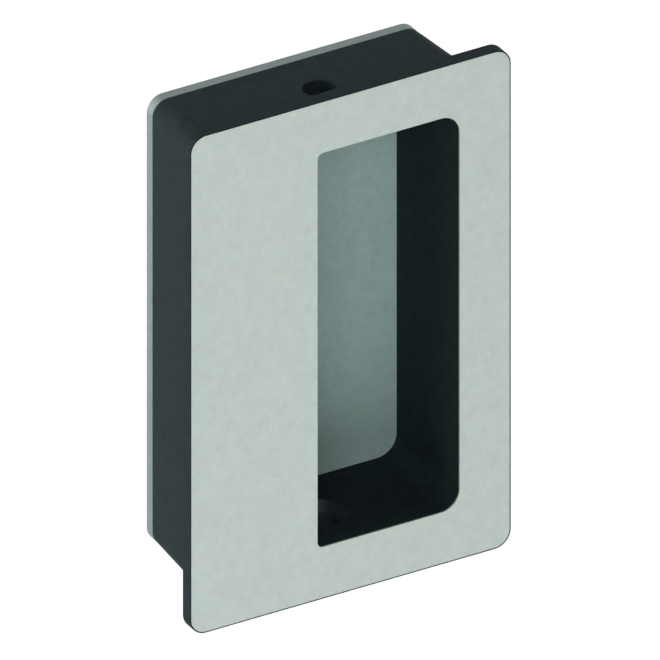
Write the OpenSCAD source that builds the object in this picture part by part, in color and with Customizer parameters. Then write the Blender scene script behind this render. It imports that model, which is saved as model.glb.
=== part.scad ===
// Recessed pull handle with an offset finger opening, let into a door or a drawer front.
// X runs to the right along the face, Y runs into the door and Z runs up.
// The origin is the middle of the flange's back face, which lies on the door.

/* [Flange] */
// Width of the flange over the door's face
flange_width = 90; // [80:1:120]
// Height of the flange over the door's face
flange_height = 140; // [120:1:200]
// How far the front of the handle stands out from the door's face
flange_thickness = 3.7; // [2.5:0.1:6]
// Radius of the flange's outer corners
flange_corner_radius = 4.5; // [2:0.1:10]
// Overlap of the flange on the door, from the body to the flange's edge
flange_overlap = 5.4; // [4:0.1:7]

/* [Front cover] */
// Thickness of the cover sheet, let in flush with the flange
cover_thickness = 0.5; // [0.4:0.1:1.2]
// Width of the moulded rim that stands round the cover sheet
rim_width = 0.3; // [0.2:0.1:2]
// How far the cover sheet reaches past the moulding, all round the opening
cover_lip = 0.3; // [0.2:0.1:1]

/* [Pull opening] */
// Width of the opening for the fingers
opening_width = 39.8; // [30:0.1:45]
// Distance from the opening to the right edge of the flange
side_margin = 14.4; // [13.5:0.1:20]
// Distance from the opening to the top and bottom edges of the flange
end_margin = 14.6; // [13.5:0.1:25]
// Radius of the opening's corners on the side away from the finger grip
opening_corner_radius = 5.2; // [3:0.1:8]
// Radius of the opening's corners beside the finger grip
grip_corner_radius = 1.6; // [0.5:0.1:5]

/* [Body] */
// Depth of the moulded body behind the door's face
body_depth = 27.5; // [24:0.1:40]
// Radius of the body's corners at the flange
body_corner_radius = 6.3; // [5.5:0.1:9]
// Draft of the body's outer walls in degrees
draft_angle = 4; // [1:0.1:5]
// Thickness of the body's outer wall
outer_wall = 2.2; // [1.5:0.1:2.4]

/* [Finger recess] */
// Radius of the recess's corners
recess_corner_radius = 5.5; // [3:0.1:8]
// Thickness of the wall round the recess
recess_wall = 2; // [1.5:0.1:2.4]

/* [Ribs] */
// Thickness of the ribs between the two walls
rib_thickness = 1.6; // [1:0.1:2.5]
// Number of ribs along each long side
side_ribs = 3; // [1:1:5]
// Distance of the ribs on the short sides from the screw's axis
end_rib_offset = 18; // [12:0.5:22]

/* [Screw holes] */
// Diameter of the screw holes
screw_hole_diameter = 8.5; // [5:0.1:9]
// Diameter of the countersinks on the recess's walls
countersink_diameter = 13.6; // [11:0.1:15]
// Full angle of the countersinks in degrees
countersink_angle = 90; // [82:1:100]
// Depth of the screws' axis behind the door's face
screw_depth = 11.5; // [10:0.1:14]
// Wall of the boss round each screw hole
boss_wall = 2.2; // [1.5:0.1:3]

/* [Rear plate] */
// Thickness of the plate that closes the back
rear_plate_thickness = 2.9; // [1:0.1:5]

/* [Hidden] */
$fn = 96;
// Overshoot of every cut past the surface that it opens
cut = 1;
// Inset of a drafted wall for each millimetre of depth
slope = tan(draft_angle);
front_y = -flange_thickness;
cover_back_y = front_y + cover_thickness;
seat_y = 0;
back_y = body_depth;
body_width = flange_width - 2 * flange_overlap;
body_height = flange_height - 2 * flange_overlap;
back_inset = slope * body_depth;
cover_width = flange_width - 2 * rim_width;
cover_height = flange_height - 2 * rim_width;
cover_corner_radius = flange_corner_radius - rim_width;
opening_height = flange_height - 2 * end_margin;
opening_right = flange_width / 2 - side_margin;
opening_left = opening_right - opening_width;
// The recess is centred in the body, and its right wall lies just behind the opening's edge
recess_width = 2 * (opening_right + cover_lip);
recess_height = opening_height + 2 * cover_lip;
// Growth of a countersink's diameter for each millimetre towards its mouth
countersink_growth = 2 * tan(countersink_angle / 2);
countersink_depth = (countersink_diameter - screw_hole_diameter) / countersink_growth;
// The boss holds the part of the countersink that goes past the recess's wall
boss_diameter = max(screw_hole_diameter, countersink_diameter - recess_wall * countersink_growth) + 2 * boss_wall;
// The pocket's corner keeps a small radius at its narrow end
pocket_corner_radius = max(body_corner_radius - outer_wall, back_inset + 0.5);
side_rib_pitch = recess_height / (side_ribs + 1);

// Rectangle with round corners, centred on the origin
module rounded_outline(width, height, radius) {
    square([width - 2 * radius, height], center = true);
    square([width, height - 2 * radius], center = true);
    for (x = [-1, 1], y = [-1, 1])
        translate([x * (width / 2 - radius), y * (height / 2 - radius)]) circle(radius);
}

// Outline drawn in X and Z, raised along Y from one depth to another
module along_depth(from_y, to_y) {
    translate([0, to_y, 0]) rotate([90, 0, 0]) linear_extrude(to_y - from_y) children();
}

// Block with round corners that narrows from the flange towards the back, as a moulding does
module drafted_block(width, height, depth, radius) {
    inset = slope * depth;
    half_width = width / 2;
    half_height = height / 2;
    linear_extrude(height - 2 * radius, center = true)
        polygon([[-half_width, 0], [half_width, 0], [half_width - inset, depth], [inset - half_width, depth]]);
    rotate([0, 90, 0]) linear_extrude(width - 2 * radius, center = true)
        polygon([[-half_height, 0], [half_height, 0], [half_height - inset, depth], [inset - half_height, depth]]);
    for (x = [-1, 1], z = [-1, 1])
        translate([x * (half_width - radius), 0, z * (half_height - radius)]) rotate([-90, 0, 0])
            cylinder(h = depth, r1 = radius, r2 = radius - inset);
}

// The pull opening, grown by a margin: wide corners on the right, tight ones beside the finger grip
module opening_outline(margin, wide_radius, tight_radius) {
    left_half = opening_width / 2 + margin;
    height = opening_height + 2 * margin;
    translate([opening_right - opening_width / 2, 0])
        rounded_outline(opening_width + 2 * margin, height, wide_radius);
    translate([opening_left - margin + left_half / 2, 0]) rounded_outline(left_half, height, tight_radius);
}

// The wall round the finger recess, from the front wall to the rear plate
module recess_tube() {
    along_depth(seat_y - cut, back_y + cut)
        rounded_outline(
            recess_width + 2 * recess_wall, recess_height + 2 * recess_wall, recess_corner_radius + recess_wall
        );
}

// Boss round a screw, carried down to the front wall so that the moulding leaves its tool
module screw_boss() {
    linear_extrude(body_height, center = true) {
        translate([0, screw_depth]) circle(d = boss_diameter);
        translate([-boss_diameter / 2, seat_y - cut]) square([boss_diameter, screw_depth + cut]);
    }
}

// Ribs that tie the recess's wall to the outer wall
module ribs() {
    for (i = [1:side_ribs])
        translate([-body_width / 2, seat_y - cut, i * side_rib_pitch - (recess_height + rib_thickness) / 2])
            cube([body_width, body_depth + 2 * cut, rib_thickness]);
    for (x = [-1, 1])
        translate([x * end_rib_offset - rib_thickness / 2, seat_y - cut, -body_height / 2])
            cube([rib_thickness, body_depth + 2 * cut, body_height]);
}

// The hollow between the two walls, open towards the rear plate
module wall_pocket() {
    difference() {
        drafted_block(
            body_width - 2 * outer_wall, body_height - 2 * outer_wall, body_depth + cut, pocket_corner_radius
        );
        recess_tube();
        screw_boss();
        ribs();
    }
}

// Screw hole through one end wall, countersunk from inside the recess
module screw_hole() {
    translate([0, screw_depth, recess_height / 2 - cut])
        cylinder(h = (body_height - recess_height) / 2 + 2 * cut, d = screw_hole_diameter);
    translate([0, screw_depth, recess_height / 2 - cut])
        cylinder(
            h = countersink_depth + cut, d1 = countersink_diameter + cut * countersink_growth, d2 = screw_hole_diameter
        );
}

module housing() {
    color([0.16, 0.19, 0.20]) difference() {
        union() {
            along_depth(front_y, seat_y) rounded_outline(flange_width, flange_height, flange_corner_radius);
            drafted_block(body_width, body_height, body_depth, body_corner_radius);
        }
        along_depth(front_y - cut, cover_back_y) rounded_outline(cover_width, cover_height, cover_corner_radius);
        along_depth(front_y - cut, seat_y + cut)
            opening_outline(cover_lip, recess_corner_radius, grip_corner_radius);
        along_depth(seat_y, back_y + cut) rounded_outline(recess_width, recess_height, recess_corner_radius);
        wall_pocket();
        for (side = [0, 1]) mirror([0, 0, side]) screw_hole();
    }
}

module front_cover() {
    color([0.72, 0.77, 0.75]) along_depth(front_y, cover_back_y) difference() {
        rounded_outline(cover_width, cover_height, cover_corner_radius);
        opening_outline(0, opening_corner_radius, grip_corner_radius);
    }
}

module rear_plate() {
    color([0.48, 0.56, 0.54]) along_depth(back_y, back_y + rear_plate_thickness)
        rounded_outline(body_width - 2 * back_inset, body_height - 2 * back_inset, body_corner_radius - back_inset);
}

housing();
front_cover();
rear_plate();
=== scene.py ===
# %% [markdown]
# A recessed pull handle is let into a sliding door or a drawer front, and the fingers reach in behind its
# face to pull. It has three pieces: a dark moulded housing, a thin satin cover sheet let in flush with the
# housing's flange, and a satin plate that closes the back.
# The handle is drawn from the left and from above with parallel lines, so the camera has no perspective.
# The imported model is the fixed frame. Each piece below is modelled at its place round that frame.

# %% Load the frame
import math

import bmesh
import bpy
from mathutils import Euler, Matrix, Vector


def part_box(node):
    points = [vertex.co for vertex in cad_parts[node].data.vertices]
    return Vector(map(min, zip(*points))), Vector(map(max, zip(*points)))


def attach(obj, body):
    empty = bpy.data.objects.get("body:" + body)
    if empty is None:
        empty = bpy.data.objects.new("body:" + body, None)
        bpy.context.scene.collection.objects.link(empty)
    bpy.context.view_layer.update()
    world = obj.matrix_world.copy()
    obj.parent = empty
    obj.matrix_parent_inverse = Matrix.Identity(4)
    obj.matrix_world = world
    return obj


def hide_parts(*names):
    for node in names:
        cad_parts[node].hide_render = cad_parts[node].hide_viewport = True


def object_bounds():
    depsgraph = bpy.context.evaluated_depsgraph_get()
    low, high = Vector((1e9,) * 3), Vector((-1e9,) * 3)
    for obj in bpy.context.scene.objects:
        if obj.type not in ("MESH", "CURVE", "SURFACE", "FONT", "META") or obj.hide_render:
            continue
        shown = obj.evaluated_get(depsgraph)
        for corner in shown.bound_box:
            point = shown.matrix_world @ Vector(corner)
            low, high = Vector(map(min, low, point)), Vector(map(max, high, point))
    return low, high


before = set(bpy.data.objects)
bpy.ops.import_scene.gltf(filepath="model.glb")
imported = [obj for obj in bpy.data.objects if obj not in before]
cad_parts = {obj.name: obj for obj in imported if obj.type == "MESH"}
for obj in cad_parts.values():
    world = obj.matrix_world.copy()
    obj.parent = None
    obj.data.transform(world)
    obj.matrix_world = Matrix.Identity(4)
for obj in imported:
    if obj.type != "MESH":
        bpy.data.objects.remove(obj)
cad_box = [list(corner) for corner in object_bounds()]
MM = 0.001
print("CAD nodes:", sorted(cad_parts))
print("CAD box in mm:", [[round(value / MM, 2) for value in corner] for corner in cad_box])

# %% [markdown]
# The camera stands 30 degrees to the left of the handle and 30 degrees above it. A camera with perspective
# would draw the far edges shorter. A parallel one keeps parallel edges parallel, as a technical drawing
# does, and only its scale decides how large things look. It aims a few millimetres beside the origin,
# because the handle isn't quite in the middle of the picture.

# %% Camera
PICTURE_WIDTH_PX = 660
SCALE_PX_PER_MM = 4.111
CAMERA_TURN = math.radians(-29.93)
CAMERA_TILT = math.radians(59.855)
CAMERA_AIM = Vector((-2.40, 2.14, 1.13)) * MM
CAMERA_DISTANCE = 1.0


def add_camera():
    data = bpy.data.cameras.new("parallel_camera")
    data.type = "ORTHO"
    data.ortho_scale = PICTURE_WIDTH_PX / SCALE_PX_PER_MM * MM
    camera = bpy.data.objects.new("parallel_camera", data)
    bpy.context.scene.collection.objects.link(camera)
    turn = Euler((CAMERA_TILT, 0, CAMERA_TURN))
    camera.rotation_euler = turn
    camera.location = CAMERA_AIM + turn.to_matrix() @ Vector((0, 0, CAMERA_DISTANCE))
    bpy.context.scene.camera = camera
    return camera


camera = add_camera()
print("Picture width in mm:", round(camera.data.ortho_scale / MM, 1))

# %% [markdown]
# The handle hangs free in front of plain white. A bright white world could give that, but it would also
# light the handle from all round and wash out its shading. So the world asks what kind of ray looks at it.
# To the camera and in reflections it is plain white, and all other light sees it at a dim level: the white
# shows in the handle's gloss but doesn't brighten its matt colours.

# %% World
WORLD_COLOUR = (1, 1, 1, 1)
WORLD_LEVEL = 0.03
bpy.context.scene.view_settings.view_transform = "Standard"


def seen_directly(nodes, links):
    """1 for the rays of the camera, of reflections and of glass, and 0 for all others."""
    path = nodes.new("ShaderNodeLightPath")
    seen = path.outputs["Is Camera Ray"]
    for ray in ("Is Glossy Ray", "Is Transmission Ray"):
        either = nodes.new("ShaderNodeMath")
        either.operation = "MAXIMUM"
        links.new(seen, either.inputs[0])
        links.new(path.outputs[ray], either.inputs[1])
        seen = either.outputs[0]
    return seen


def set_world():
    world = bpy.data.worlds.new("studio")
    world.use_nodes = True
    nodes, links = world.node_tree.nodes, world.node_tree.links
    nodes.clear()
    dim = nodes.new("ShaderNodeBackground")
    dim.inputs["Color"].default_value = WORLD_COLOUR
    dim.inputs["Strength"].default_value = WORLD_LEVEL
    white = nodes.new("ShaderNodeBackground")
    white.inputs["Color"].default_value = WORLD_COLOUR
    choice = nodes.new("ShaderNodeMixShader")
    links.new(seen_directly(nodes, links), choice.inputs[0])
    links.new(dim.outputs[0], choice.inputs[1])
    links.new(white.outputs[0], choice.inputs[2])
    links.new(choice.outputs[0], nodes.new("ShaderNodeOutputWorld").inputs["Surface"])
    bpy.context.scene.world = world


set_world()
print("World level for light that isn't seen directly:", WORLD_LEVEL)

# %% [markdown]
# A pale floor lies below. It is far enough down for the shadow on it to stay soft, and it glows white for
# the same rays as the world does, so that it shows no horizon. A diffuse surface with a glow added to it
# still takes the shadow, which a floor that only glows would not.

# %% Floor
FLOOR_DROP = 1.6
FLOOR_SIZE = 16.0
FLOOR_COLOUR = (0.80, 0.80, 0.80, 1)
FLOOR_GLOW = (0.95, 0.95, 0.95, 1)


def new_material(name):
    """A new material, with the lists that its nodes and its links are added to."""
    material = bpy.data.materials.new(name)
    material.use_nodes = True
    return material, material.node_tree.nodes, material.node_tree.links


def floor_material():
    material, nodes, links = new_material("pale_floor")
    nodes.clear()
    matt = nodes.new("ShaderNodeBsdfDiffuse")
    matt.inputs["Color"].default_value = FLOOR_COLOUR
    glow = nodes.new("ShaderNodeEmission")
    glow.inputs["Color"].default_value = FLOOR_GLOW
    links.new(seen_directly(nodes, links), glow.inputs["Strength"])
    both = nodes.new("ShaderNodeAddShader")
    links.new(matt.outputs[0], both.inputs[0])
    links.new(glow.outputs[0], both.inputs[1])
    links.new(both.outputs[0], nodes.new("ShaderNodeOutputMaterial").inputs["Surface"])
    return material


def add_floor():
    bpy.ops.object.select_all(action="DESELECT")
    lowest = cad_box[0][2]
    bpy.ops.mesh.primitive_plane_add(size=FLOOR_SIZE, location=(0, 0, lowest - FLOOR_DROP))
    floor = bpy.context.object
    floor.name = "floor"
    floor.data.materials.append(floor_material())
    return floor


floor = add_floor()
print("Floor at z in mm:", round(floor.location.z / MM))

# %% [markdown]
# Large soft lamps stand all round, because small ones would throw hard shadows and leave sharp spots on
# the metal. The key lamp is in front, a little above and to the left, so that the face is the brightest
# side and the recess is shaded by the edge of its opening. A wide lamp below fills the recess without
# lighting its lower wall, and one at the left lights little but the left side. The rim lamp and the back
# lamp stand behind, to the left: they light the back, and give the rear plate's round corner its shine.
# The top lamp stands over the far side, so that the light falls off from the left side to the top round
# each corner. The last one is for the right side, which the picture doesn't show.

# %% Lamps
LAMP_DISTANCE = 1.5
# Each lamp: name, direction from the handle, width, strength on a face that looks straight at it
LAMPS = [
    ("key", (-0.40, -0.75, 0.40), 0.8, 0.635),
    ("low", (-0.30, -0.75, -0.60), 1.2, 0.435),
    ("left", (-1.00, 0.05, 0.00), 1.4, 0.90),
    ("rim", (-0.60, 0.60, 0.50), 1.2, 0.60),
    ("back", (-0.68, 0.70, 0.00), 1.0, 0.47),
    ("top", (0.50, 0.20, 1.00), 1.2, 0.45),
    ("right", (1.00, 0.10, -0.05), 1.4, 0.50),
]


def add_lamp(name, direction, width, strength):
    data = bpy.data.lights.new(name, "AREA")
    data.shape = "SQUARE"
    data.size = width
    # A lamp of P watts at d metres lights a white face that looks at it to a level of P / (pi d)^2
    data.energy = strength * (math.pi * LAMP_DISTANCE) ** 2
    lamp = bpy.data.objects.new(name + "_lamp", data)
    bpy.context.scene.collection.objects.link(lamp)
    lamp.visible_camera = False
    towards = Vector(direction).normalized()
    lamp.location = towards * LAMP_DISTANCE
    lamp.rotation_euler = towards.to_track_quat("Z", "Y").to_euler()


for lamp in LAMPS:
    add_lamp(*lamp)
print("Lamps:", [lamp[0] for lamp in LAMPS])

# %% [markdown]
# No real surface has one colour and one gloss all over. A photographed texture could show that, but it
# blurs close up and has to be laid round every corner. Noise is sharp at any distance, so metal and plastic
# here both start from two noise textures: a coarse one varies colour and gloss together, and a fine one is
# the grain, which a Bump node turns into tiny slopes. Both read Object coordinates, so that the pattern
# sits still on the piece at its real size.

# %% Noise for colour, gloss and grain
# The noise seldom goes below the first level or above the second, so these become the two ends of a range
NOISE_ENDS = (0.3, 0.7)


def noise(nodes, links, per_metre, detail, roughness):
    """Noise fixed to the piece: blotches to the metre, finer levels in it, and how much each level adds."""
    place = nodes.new("ShaderNodeTexCoord")
    texture = nodes.new("ShaderNodeTexNoise")
    texture.inputs["Scale"].default_value = per_metre
    texture.inputs["Detail"].default_value = detail
    texture.inputs["Roughness"].default_value = roughness
    links.new(place.outputs["Object"], texture.inputs["Vector"])
    return texture.outputs["Fac"]


def two_tones(nodes, links, factor, dark, light):
    """The noise turned into a colour between dark and light."""
    ramp = nodes.new("ShaderNodeValToRGB")
    ramp.color_ramp.elements[0].position = NOISE_ENDS[0]
    ramp.color_ramp.elements[0].color = dark
    ramp.color_ramp.elements[1].position = NOISE_ENDS[1]
    ramp.color_ramp.elements[1].color = light
    links.new(factor, ramp.inputs["Fac"])
    return ramp.outputs["Color"]


def spread(nodes, links, factor, low, high):
    """The noise turned into a number between low and high."""
    spread_out = nodes.new("ShaderNodeMapRange")
    spread_out.inputs["From Min"].default_value = NOISE_ENDS[0]
    spread_out.inputs["From Max"].default_value = NOISE_ENDS[1]
    spread_out.inputs["To Min"].default_value = low
    spread_out.inputs["To Max"].default_value = high
    links.new(factor, spread_out.inputs["Value"])
    return spread_out.outputs["Result"]


def grained_normal(nodes, links, grains, height):
    """The surface's direction, made uneven by grains of that height."""
    bump = nodes.new("ShaderNodeBump")
    bump.inputs["Distance"].default_value = height
    links.new(noise(nodes, links, *grains), bump.inputs["Height"])
    return bump.outputs["Normal"]


print("Noise from", NOISE_ENDS[0], "to", NOISE_ENDS[1], "fills a whole range of colour or gloss")

# %% [markdown]
# Both metal pieces are stainless sheet with a satin, almost matt finish. The rear plate is less metallic,
# and its tones are darker and greener than the cover's, which paints part of the recess's shade, where the
# plate is seen, into its colour. The finish has no brush lines: it shows faint clouds a few millimetres
# across and, close up, a fine even grain. Where the sheet was cut, its edge is darker than its face: partly
# because a cut edge is duller, and partly as painted shade, on the pale edge strips and on the small broken
# edges beside the faces, as in the groove where the plate meets the body. A second material on the edge
# could show that, but the direction that the surface looks in tells the two apart by itself, because both
# faces of a sheet look straight to the front or to the back.

# %% Satin metal
# Colour at the dark and at the light end of the clouds
COVER_TONES = ((0.434, 0.504, 0.465, 1), (0.502, 0.583, 0.538, 1))
# The rear plate's tones are darker and greener than the cover's: they paint part of the recess's shade
PLATE_TONES_WITH_PAINTED_SHADE = ((0.232, 0.323, 0.307, 1), (0.281, 0.393, 0.372, 1))
COVER_METAL_SHARE = 0.25
PLATE_METAL_SHARE = 0.10
METAL_ROUGHNESS = (0.42, 0.50)
# Brightness of a cut edge, where the sheet's face is 1: partly a duller cut, partly painted shade
CUT_EDGE_AND_PAINTED_SHADE_LEVEL = 0.39
# Where the front-to-back part of the surface's direction is below this, the surface is all cut edge,
# so the small broken edges get it too: painted shade, as in the groove where the plate meets the body
SHEET_FACE_FROM = 0.95
# Each noise: blotches to the metre, detail, roughness
METAL_CLOUDS = (420, 5, 0.7)
METAL_GRAINS = (3500, 2, 0.5)
METAL_GRAIN_HEIGHT = 0.01 * MM


def darker_cut_edges_and_painted_shade(nodes, links, colour):
    """The colour as it is on the sheet's front and back, and darker on its cut and broken edges: partly a
    duller cut, partly painted shade.
    """
    place = nodes.new("ShaderNodeTexCoord")
    parts = nodes.new("ShaderNodeSeparateXYZ")
    links.new(place.outputs["Normal"], parts.inputs[0])
    flatness = nodes.new("ShaderNodeMath")
    flatness.operation = "ABSOLUTE"
    links.new(parts.outputs["Y"], flatness.inputs[0])
    strength = nodes.new("ShaderNodeMapRange")
    strength.inputs["From Min"].default_value = SHEET_FACE_FROM
    strength.inputs["To Min"].default_value = CUT_EDGE_AND_PAINTED_SHADE_LEVEL
    links.new(flatness.outputs[0], strength.inputs["Value"])
    scaled = nodes.new("ShaderNodeVectorMath")
    scaled.operation = "SCALE"
    links.new(colour, scaled.inputs[0])
    links.new(strength.outputs["Result"], scaled.inputs["Scale"])
    return scaled.outputs[0]


def satin_metal(name, tones, metal_share):
    material, nodes, links = new_material(name)
    surface = nodes["Principled BSDF"]
    surface.inputs["Metallic"].default_value = metal_share
    clouds = noise(nodes, links, *METAL_CLOUDS)
    # Cut and broken edges are darkened: partly a duller cut, partly painted shade
    colour = darker_cut_edges_and_painted_shade(nodes, links, two_tones(nodes, links, clouds, *tones))
    links.new(colour, surface.inputs["Base Color"])
    links.new(spread(nodes, links, clouds, *METAL_ROUGHNESS), surface.inputs["Roughness"])
    links.new(grained_normal(nodes, links, METAL_GRAINS, METAL_GRAIN_HEIGHT), surface.inputs["Normal"])
    return material


cover_metal = satin_metal("satin_cover_metal", COVER_TONES, COVER_METAL_SHARE)
# The rear plate is less metallic, and its darker, greener tones are painted shade of the recess
plate_metal = satin_metal("dull_plate_metal_with_painted_shade", PLATE_TONES_WITH_PAINTED_SHADE, PLATE_METAL_SHARE)
print("Finishes:", cover_metal.name, "and", plate_metal.name)

# %% [markdown]
# The housing is moulded in a dark grey-green engineering plastic. Its tool was spark-eroded, which leaves
# a fine matt grain. The colour hardly varies. What shows is the broken gloss of the grain. Only the
# countersinks are moulded by polished core pins, so they are smooth and a little glossier. One function
# makes both finishes, because only their gloss and grain differ.

# %% Moulded plastic
# Colour at the dark and at the light end of the patches
PLASTIC_TONES = ((0.0095, 0.0149, 0.0163, 1), (0.0165, 0.0258, 0.0282, 1))
# Each noise: blotches to the metre, detail, roughness
PLASTIC_PATCHES = (300, 6, 0.75)
PLASTIC_GRAINS = (2600, 2, 0.5)
GRAINED_ROUGHNESS = (0.46, 0.58)
GRAINED_SPECULAR = 0.015
GRAINED_HEIGHT = 0.08 * MM
POLISHED_ROUGHNESS = (0.34, 0.40)
POLISHED_SPECULAR = 0.30
POLISHED_HEIGHT = 0.01 * MM


def moulded_plastic(name, roughness, specular, grain_height):
    material, nodes, links = new_material(name)
    surface = nodes["Principled BSDF"]
    surface.inputs["Specular IOR Level"].default_value = specular
    patches = noise(nodes, links, *PLASTIC_PATCHES)
    links.new(two_tones(nodes, links, patches, *PLASTIC_TONES), surface.inputs["Base Color"])
    links.new(spread(nodes, links, patches, *roughness), surface.inputs["Roughness"])
    links.new(grained_normal(nodes, links, PLASTIC_GRAINS, grain_height), surface.inputs["Normal"])
    return material


grained_plastic = moulded_plastic("grained_plastic", GRAINED_ROUGHNESS, GRAINED_SPECULAR, GRAINED_HEIGHT)
polished_plastic = moulded_plastic("polished_plastic", POLISHED_ROUGHNESS, POLISHED_SPECULAR, POLISHED_HEIGHT)
print("Finishes:", grained_plastic.name, "and", polished_plastic.name)

# %% [markdown]
# The cover and the rear plate are cut from flat sheet. Each could start as a thin box, but one flat plane
# is easier to shape, as sheet is cut to its outline first. Bevelling the four corner points turns them into
# arcs, and Solidify then gives the sheet its thickness.

# %% Flat sheets with round corners
CORNER_SEGMENTS = 16
FACING_FRONT = (math.radians(90), 0, 0)


def select_only(piece):
    bpy.ops.object.select_all(action="DESELECT")
    piece.select_set(True)
    bpy.context.view_layer.objects.active = piece


def flat_rectangle(name, low, high, depth):
    """A plane between two corners in X and Z, at one depth, that faces the front."""
    bpy.ops.object.select_all(action="DESELECT")
    middle = ((low[0] + high[0]) / 2, depth, (low[1] + high[1]) / 2)
    bpy.ops.mesh.primitive_plane_add(size=1, location=middle, rotation=FACING_FRONT)
    rectangle = bpy.context.object
    rectangle.name = name
    rectangle.scale = (high[0] - low[0], high[1] - low[1], 1)
    bpy.ops.object.transform_apply(location=True, rotation=True, scale=True)
    return rectangle


def round_corners(outline, radius, wanted):
    """Turns the outline's corner points into arcs, where wanted(point) says so."""
    select_only(outline)
    bpy.ops.object.mode_set(mode="EDIT")
    mesh = bmesh.from_edit_mesh(outline.data)
    bpy.ops.mesh.select_mode(type="VERT")
    bpy.ops.mesh.select_all(action="DESELECT")
    for point in mesh.verts:
        point.select = wanted(point.co)
    mesh.select_flush_mode()
    bmesh.update_edit_mesh(outline.data)
    bpy.ops.mesh.bevel(offset=radius, segments=CORNER_SEGMENTS, affect="VERTICES", clamp_overlap=False)
    bpy.ops.object.mode_set(mode="OBJECT")


def give_thickness(sheet, thickness):
    """Thickens a flat sheet, which faces the front, towards the back."""
    select_only(sheet)
    bpy.ops.object.modifier_add(type="SOLIDIFY")
    solidify = sheet.modifiers[-1]
    solidify.thickness = thickness
    solidify.offset = -1
    bpy.ops.object.modifier_apply(modifier=solidify.name)


def recalculate_normals(piece):
    """Turns every face outwards."""
    select_only(piece)
    bpy.ops.object.mode_set(mode="EDIT")
    bpy.ops.mesh.select_all(action="SELECT")
    bpy.ops.mesh.normals_make_consistent(inside=False)
    bpy.ops.object.mode_set(mode="OBJECT")


print("Corner arcs have", CORNER_SEGMENTS, "segments")

# %% [markdown]
# No real edge is perfectly sharp. A very small bevel along every edge stands for the deburring: without it
# an edge has no width, and catches no light. Round faces are then shaded smooth. The Weighted Normal
# modifier lets the large faces decide, so that the flat ones stay flat to the light beside a round edge.

# %% Broken edges and shading
EDGE_SEGMENTS = 3
SHARP_FROM = math.radians(40)
SMOOTH_UP_TO = math.radians(35)
# The modifier's weight goes from 1 to 100, and at 100 the largest faces count most
LARGE_FACES_DECIDE = 100


def smooth(piece):
    """Smooth shading on round faces only: flat faces stay flat to the light."""
    select_only(piece)
    bpy.ops.object.shade_smooth_by_angle(angle=SMOOTH_UP_TO)
    bpy.ops.object.modifier_add(type="WEIGHTED_NORMAL")
    weighted = piece.modifiers[-1]
    weighted.keep_sharp = True
    weighted.weight = LARGE_FACES_DECIDE
    bpy.ops.object.modifier_apply(modifier=weighted.name)


def break_edges(piece, width):
    """Rounds every sharp edge by that width."""
    select_only(piece)
    bpy.ops.object.modifier_add(type="BEVEL")
    bevel = piece.modifiers[-1]
    bevel.width = width
    bevel.segments = EDGE_SEGMENTS
    bevel.limit_method = "ANGLE"
    bevel.angle_limit = SHARP_FROM
    bevel.use_clamp_overlap = False
    bpy.ops.object.modifier_apply(modifier=bevel.name)
    smooth(piece)


print("Sharp edges start at", round(math.degrees(SHARP_FROM)), "degrees and get", EDGE_SEGMENTS, "segments")

# %% [markdown]
# A finished piece takes the place of its solid in the frame. The handle has no moving part, so all three
# pieces ride on its one body.


def dress(piece, node, material):
    """The piece stands for its CAD node, rides on the one body and gets its finish."""
    piece.data.materials.clear()
    piece.data.materials.append(material)
    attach(piece, "root")
    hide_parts(node)
    print(piece.name, "has", len(piece.data.polygons), "faces and stands for", node)


# %% [markdown]
# The rear plate closes the back of the housing. It is as wide as the drafted body is there, so that its
# edge shows from the front as a pale strip along the left and the top. The plate's front is the floor
# that the fingers touch in the recess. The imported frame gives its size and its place.

# %% Rear plate
PLATE_CORNER_RADIUS = 4.37 * MM
PLATE_EDGE_BREAK = 0.25 * MM


def add_rear_plate():
    low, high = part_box("rear_plate")
    plate = flat_rectangle("rear_plate_finished", (low.x, low.z), (high.x, high.z), low.y)
    round_corners(plate, PLATE_CORNER_RADIUS, lambda point: True)
    give_thickness(plate, high.y - low.y)
    recalculate_normals(plate)
    break_edges(plate, PLATE_EDGE_BREAK)
    return plate


rear_plate = add_rear_plate()
dress(rear_plate, "rear_plate", plate_metal)

# %% [markdown]
# The pull opening is off centre, nearer to the right, and the wide part of the face on its left is the grip
# that the fingers curl behind. Its place isn't typed in again but measured on the frame: the cover's border
# is wide all round, so every point well inside its outline belongs to the opening.

# %% The pull opening
COVER_BORDER_AT_LEAST = 8 * MM


def opening_corners(node):
    """The lower left and upper right corner of the opening, from the points well inside the outline."""
    low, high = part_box(node)
    inner = [
        vertex.co
        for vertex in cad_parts[node].data.vertices
        if low.x + COVER_BORDER_AT_LEAST < vertex.co.x < high.x - COVER_BORDER_AT_LEAST
        and low.z + COVER_BORDER_AT_LEAST < vertex.co.z < high.z - COVER_BORDER_AT_LEAST
    ]
    across = [point.x for point in inner]
    up = [point.z for point in inner]
    return (min(across), min(up)), (max(across), max(up))


opening_low, opening_high = opening_corners("front_cover")
print("Opening in mm:", [round(value / MM, 2) for value in (*opening_low, *opening_high)])

# %% [markdown]
# The cover is one thin sheet with that opening cut out. A Boolean modifier could cut it, but often leaves
# messy faces round the cut. Here the outer outline and the opening are two planes with equally many corner
# points. Their faces are taken away and the bridge operator joins the two outlines, which leaves a clean
# ring of four-sided faces. The opening's right corners are wide, and the two beside the grip are tight.

# %% Front cover
COVER_CORNER_RADIUS = 4.2 * MM
OPENING_WIDE_RADIUS = 5.2 * MM
OPENING_TIGHT_RADIUS = 1.6 * MM
COVER_EDGE_BREAK = 0.07 * MM
# Points that differ by less than this lie on the same line
SAME_LINE = 0.01 * MM


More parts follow.
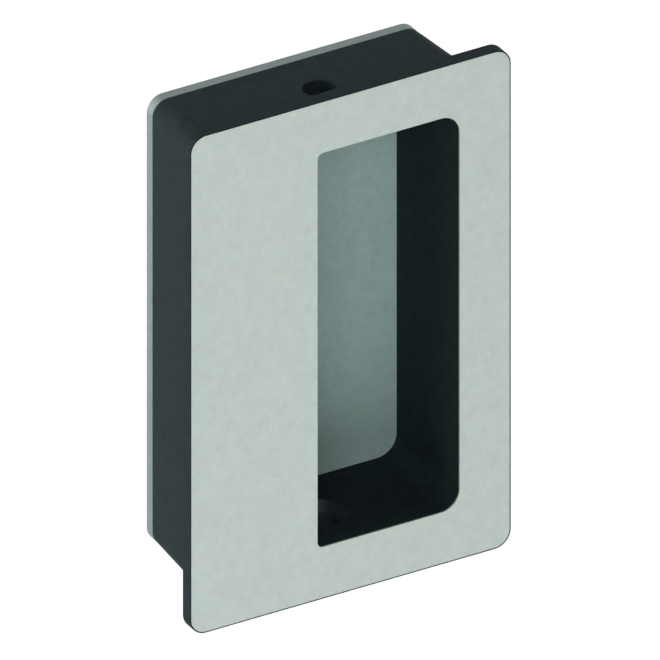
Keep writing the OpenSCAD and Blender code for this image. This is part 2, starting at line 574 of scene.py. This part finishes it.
def bridge_outlines(outer, inner):
    """Joins two outlines into one flat ring, and keeps the outer one's name."""
    select_only(outer)
    inner.select_set(True)
    bpy.ops.object.join()
    bpy.ops.object.mode_set(mode="EDIT")
    bpy.ops.mesh.select_all(action="SELECT")
    bpy.ops.mesh.delete(type="ONLY_FACE")
    bpy.ops.mesh.select_all(action="SELECT")
    bpy.ops.mesh.bridge_edge_loops()
    bpy.ops.object.mode_set(mode="OBJECT")


def add_front_cover(opening_low, opening_high):
    low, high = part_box("front_cover")
    opening_middle = (opening_low[0] + opening_high[0]) / 2
    cover = flat_rectangle("front_cover_finished", (low.x, low.z), (high.x, high.z), low.y)
    round_corners(cover, COVER_CORNER_RADIUS, lambda point: True)
    opening = flat_rectangle("opening", opening_low, opening_high, low.y)
    round_corners(opening, OPENING_TIGHT_RADIUS, lambda point: point.x < opening_middle)
    round_corners(opening, OPENING_WIDE_RADIUS, lambda point: point.x > opening_high[0] - SAME_LINE)
    bridge_outlines(cover, opening)
    recalculate_normals(cover)
    give_thickness(cover, high.y - low.y)
    recalculate_normals(cover)
    break_edges(cover, COVER_EDGE_BREAK)
    return cover


front_cover = add_front_cover(opening_low, opening_high)
dress(front_cover, "front_cover", cover_metal)

# %% [markdown]
# The housing is the one moulding that carries both sheets. It has a flange, a drafted body with an inner
# wall round the recess, ribs and screw bosses between the two walls, and a countersunk hole at each end.
# It could be modelled once more by hand, but all of that is already true in the frame's solid. So the
# solid's mesh is copied, merged at its shared points and cleaned of the lines inside flat faces.

# %% The housing's mesh
MERGE_DISTANCE = 0.001 * MM
FLAT_WITHIN = math.radians(0.5)


def merged_copy(node, name):
    """A new object with the node's mesh, joined at every shared point and without lines in flat faces."""
    piece = bpy.data.objects.new(name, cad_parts[node].data.copy())
    bpy.context.scene.collection.objects.link(piece)
    select_only(piece)
    bpy.ops.mesh.customdata_custom_splitnormals_clear()
    bpy.ops.object.mode_set(mode="EDIT")
    bpy.ops.mesh.select_all(action="SELECT")
    bpy.ops.mesh.remove_doubles(threshold=MERGE_DISTANCE)
    bpy.ops.mesh.select_all(action="SELECT")
    bpy.ops.mesh.dissolve_limited(angle_limit=FLAT_WITHIN)
    bpy.ops.object.mode_set(mode="OBJECT")
    return piece


housing = merged_copy("housing", "housing_finished")
print("The merged housing has", len(housing.data.polygons), "faces")

# %% [markdown]
# Before its edges can be rounded, they have to be found. Picking them by number would break as soon as the
# solid changes, so they are found by their place: those on an outline by their depth and by how far out
# they lie, and those of a screw hole by their distance from its axis.

# %% Edges found by their place
OUTLINE_BAND = 1.4 * MM
SCREW_DEPTH = 11.5 * MM
COUNTERSINK_REACH = 7.2 * MM


def from_screw_axis(point):
    """Distance of a point from the axis that both screws share."""
    return math.hypot(point.x, point.y - SCREW_DEPTH)


def on_outline(edge, corner, depth):
    """True for an edge of the outer outline at that depth, of the rectangle that reaches to that corner."""
    side = min(edge.link_faces, key=lambda face: abs(face.normal.y))
    middle = (edge.verts[0].co + edge.verts[1].co) / 2
    looks_outwards = side.normal.x * middle.x + side.normal.z * middle.z > 0
    near_outline = abs(middle.x) > corner.x - OUTLINE_BAND or abs(middle.z) > corner.z - OUTLINE_BAND
    at_depth = all(abs(point.co.y - depth) < SAME_LINE for point in edge.verts)
    return looks_outwards and near_outline and at_depth


def on_screw_hole(edge, from_height):
    """True for an edge round a screw hole or its countersink, beyond that height."""
    farthest = max(from_screw_axis(point.co) for point in edge.verts)
    return farthest < COUNTERSINK_REACH and abs(edge.verts[0].co.z) > from_height


print("Depth of the screws' axis in mm:", round(SCREW_DEPTH / MM, 1))

# %% [markdown]
# The edges that a hand or the eye meets are rounded, each as much as its place on the moulding allows: the
# body's back edge most, and the thin rim round the cover least. The Bevel modifier that the sheets have
# gives all sharp edges one width, so here the bevel operator takes one group of edges at a time.

# %% The housing's edges
RIM_EDGE_ROUND = 0.06 * MM
FLANGE_BACK_ROUND = 0.15 * MM
BODY_BACK_ROUND = 0.25 * MM
HOLE_EDGE_ROUND = 0.12 * MM
# The flange's back lies on the door's face, where depth is counted from
FLANGE_BACK_DEPTH = 0


def round_edges(piece, width, wanted):
    """Rounds the sharp edges for which wanted(edge) is true."""
    select_only(piece)
    bpy.ops.object.mode_set(mode="EDIT")
    mesh = bmesh.from_edit_mesh(piece.data)
    bpy.ops.mesh.select_mode(type="EDGE")
    bpy.ops.mesh.select_all(action="DESELECT")
    for edge in mesh.edges:
        edge.select = edge.calc_face_angle(0) > SHARP_FROM and wanted(edge)
    chosen = sum(edge.select for edge in mesh.edges)
    mesh.select_flush_mode()
    bmesh.update_edit_mesh(piece.data)
    bpy.ops.mesh.bevel(offset=width, segments=EDGE_SEGMENTS, affect="EDGES", clamp_overlap=False)
    bpy.ops.object.mode_set(mode="OBJECT")
    print("Rounded", chosen, "edges by", round(width / MM, 2), "mm")


def round_housing(piece, opening_top):
    low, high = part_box("housing")
    body_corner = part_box("rear_plate")[1]
    round_edges(piece, RIM_EDGE_ROUND, lambda edge: on_outline(edge, high, low.y))
    round_edges(piece, FLANGE_BACK_ROUND, lambda edge: on_outline(edge, high, FLANGE_BACK_DEPTH))
    round_edges(piece, BODY_BACK_ROUND, lambda edge: on_outline(edge, body_corner, high.y))
    round_edges(piece, HOLE_EDGE_ROUND, lambda edge: on_screw_hole(edge, opening_top))
    smooth(piece)


round_housing(housing, opening_high[1])

# %% [markdown]
# The grained plastic goes all over the housing, and the polished one on the two countersinks. A mesh holds
# several materials in numbered slots, and each face names its slot. The countersinks slant at 45 degrees
# and lie just beyond the recess's ends, which is how their faces are found.

# %% The housing's finishes
COUNTERSINK_DEPTH = 3 * MM
# Up or down part of the direction that a face of the cone looks in, from the least to the most
COUNTERSINK_SLANT = (0.68, 0.73)


def polish_countersinks(piece, from_height):
    """Gives the slanted faces round each screw hole, just beyond that height, the second finish."""
    piece.data.materials.append(polished_plastic)
    polished_index = len(piece.data.materials) - 1
    polished_faces = 0
    for face in piece.data.polygons:
        beyond = abs(face.center.z) - from_height
        slanted = COUNTERSINK_SLANT[0] < abs(face.normal.z) < COUNTERSINK_SLANT[1]
        near_axis = from_screw_axis(face.center) < COUNTERSINK_REACH
        if near_axis and slanted and 0 < beyond < COUNTERSINK_DEPTH:
            face.material_index = polished_index
            polished_faces += 1
    print("Polished faces:", polished_faces)


dress(housing, "housing", grained_plastic)
polish_countersinks(housing, opening_high[1])
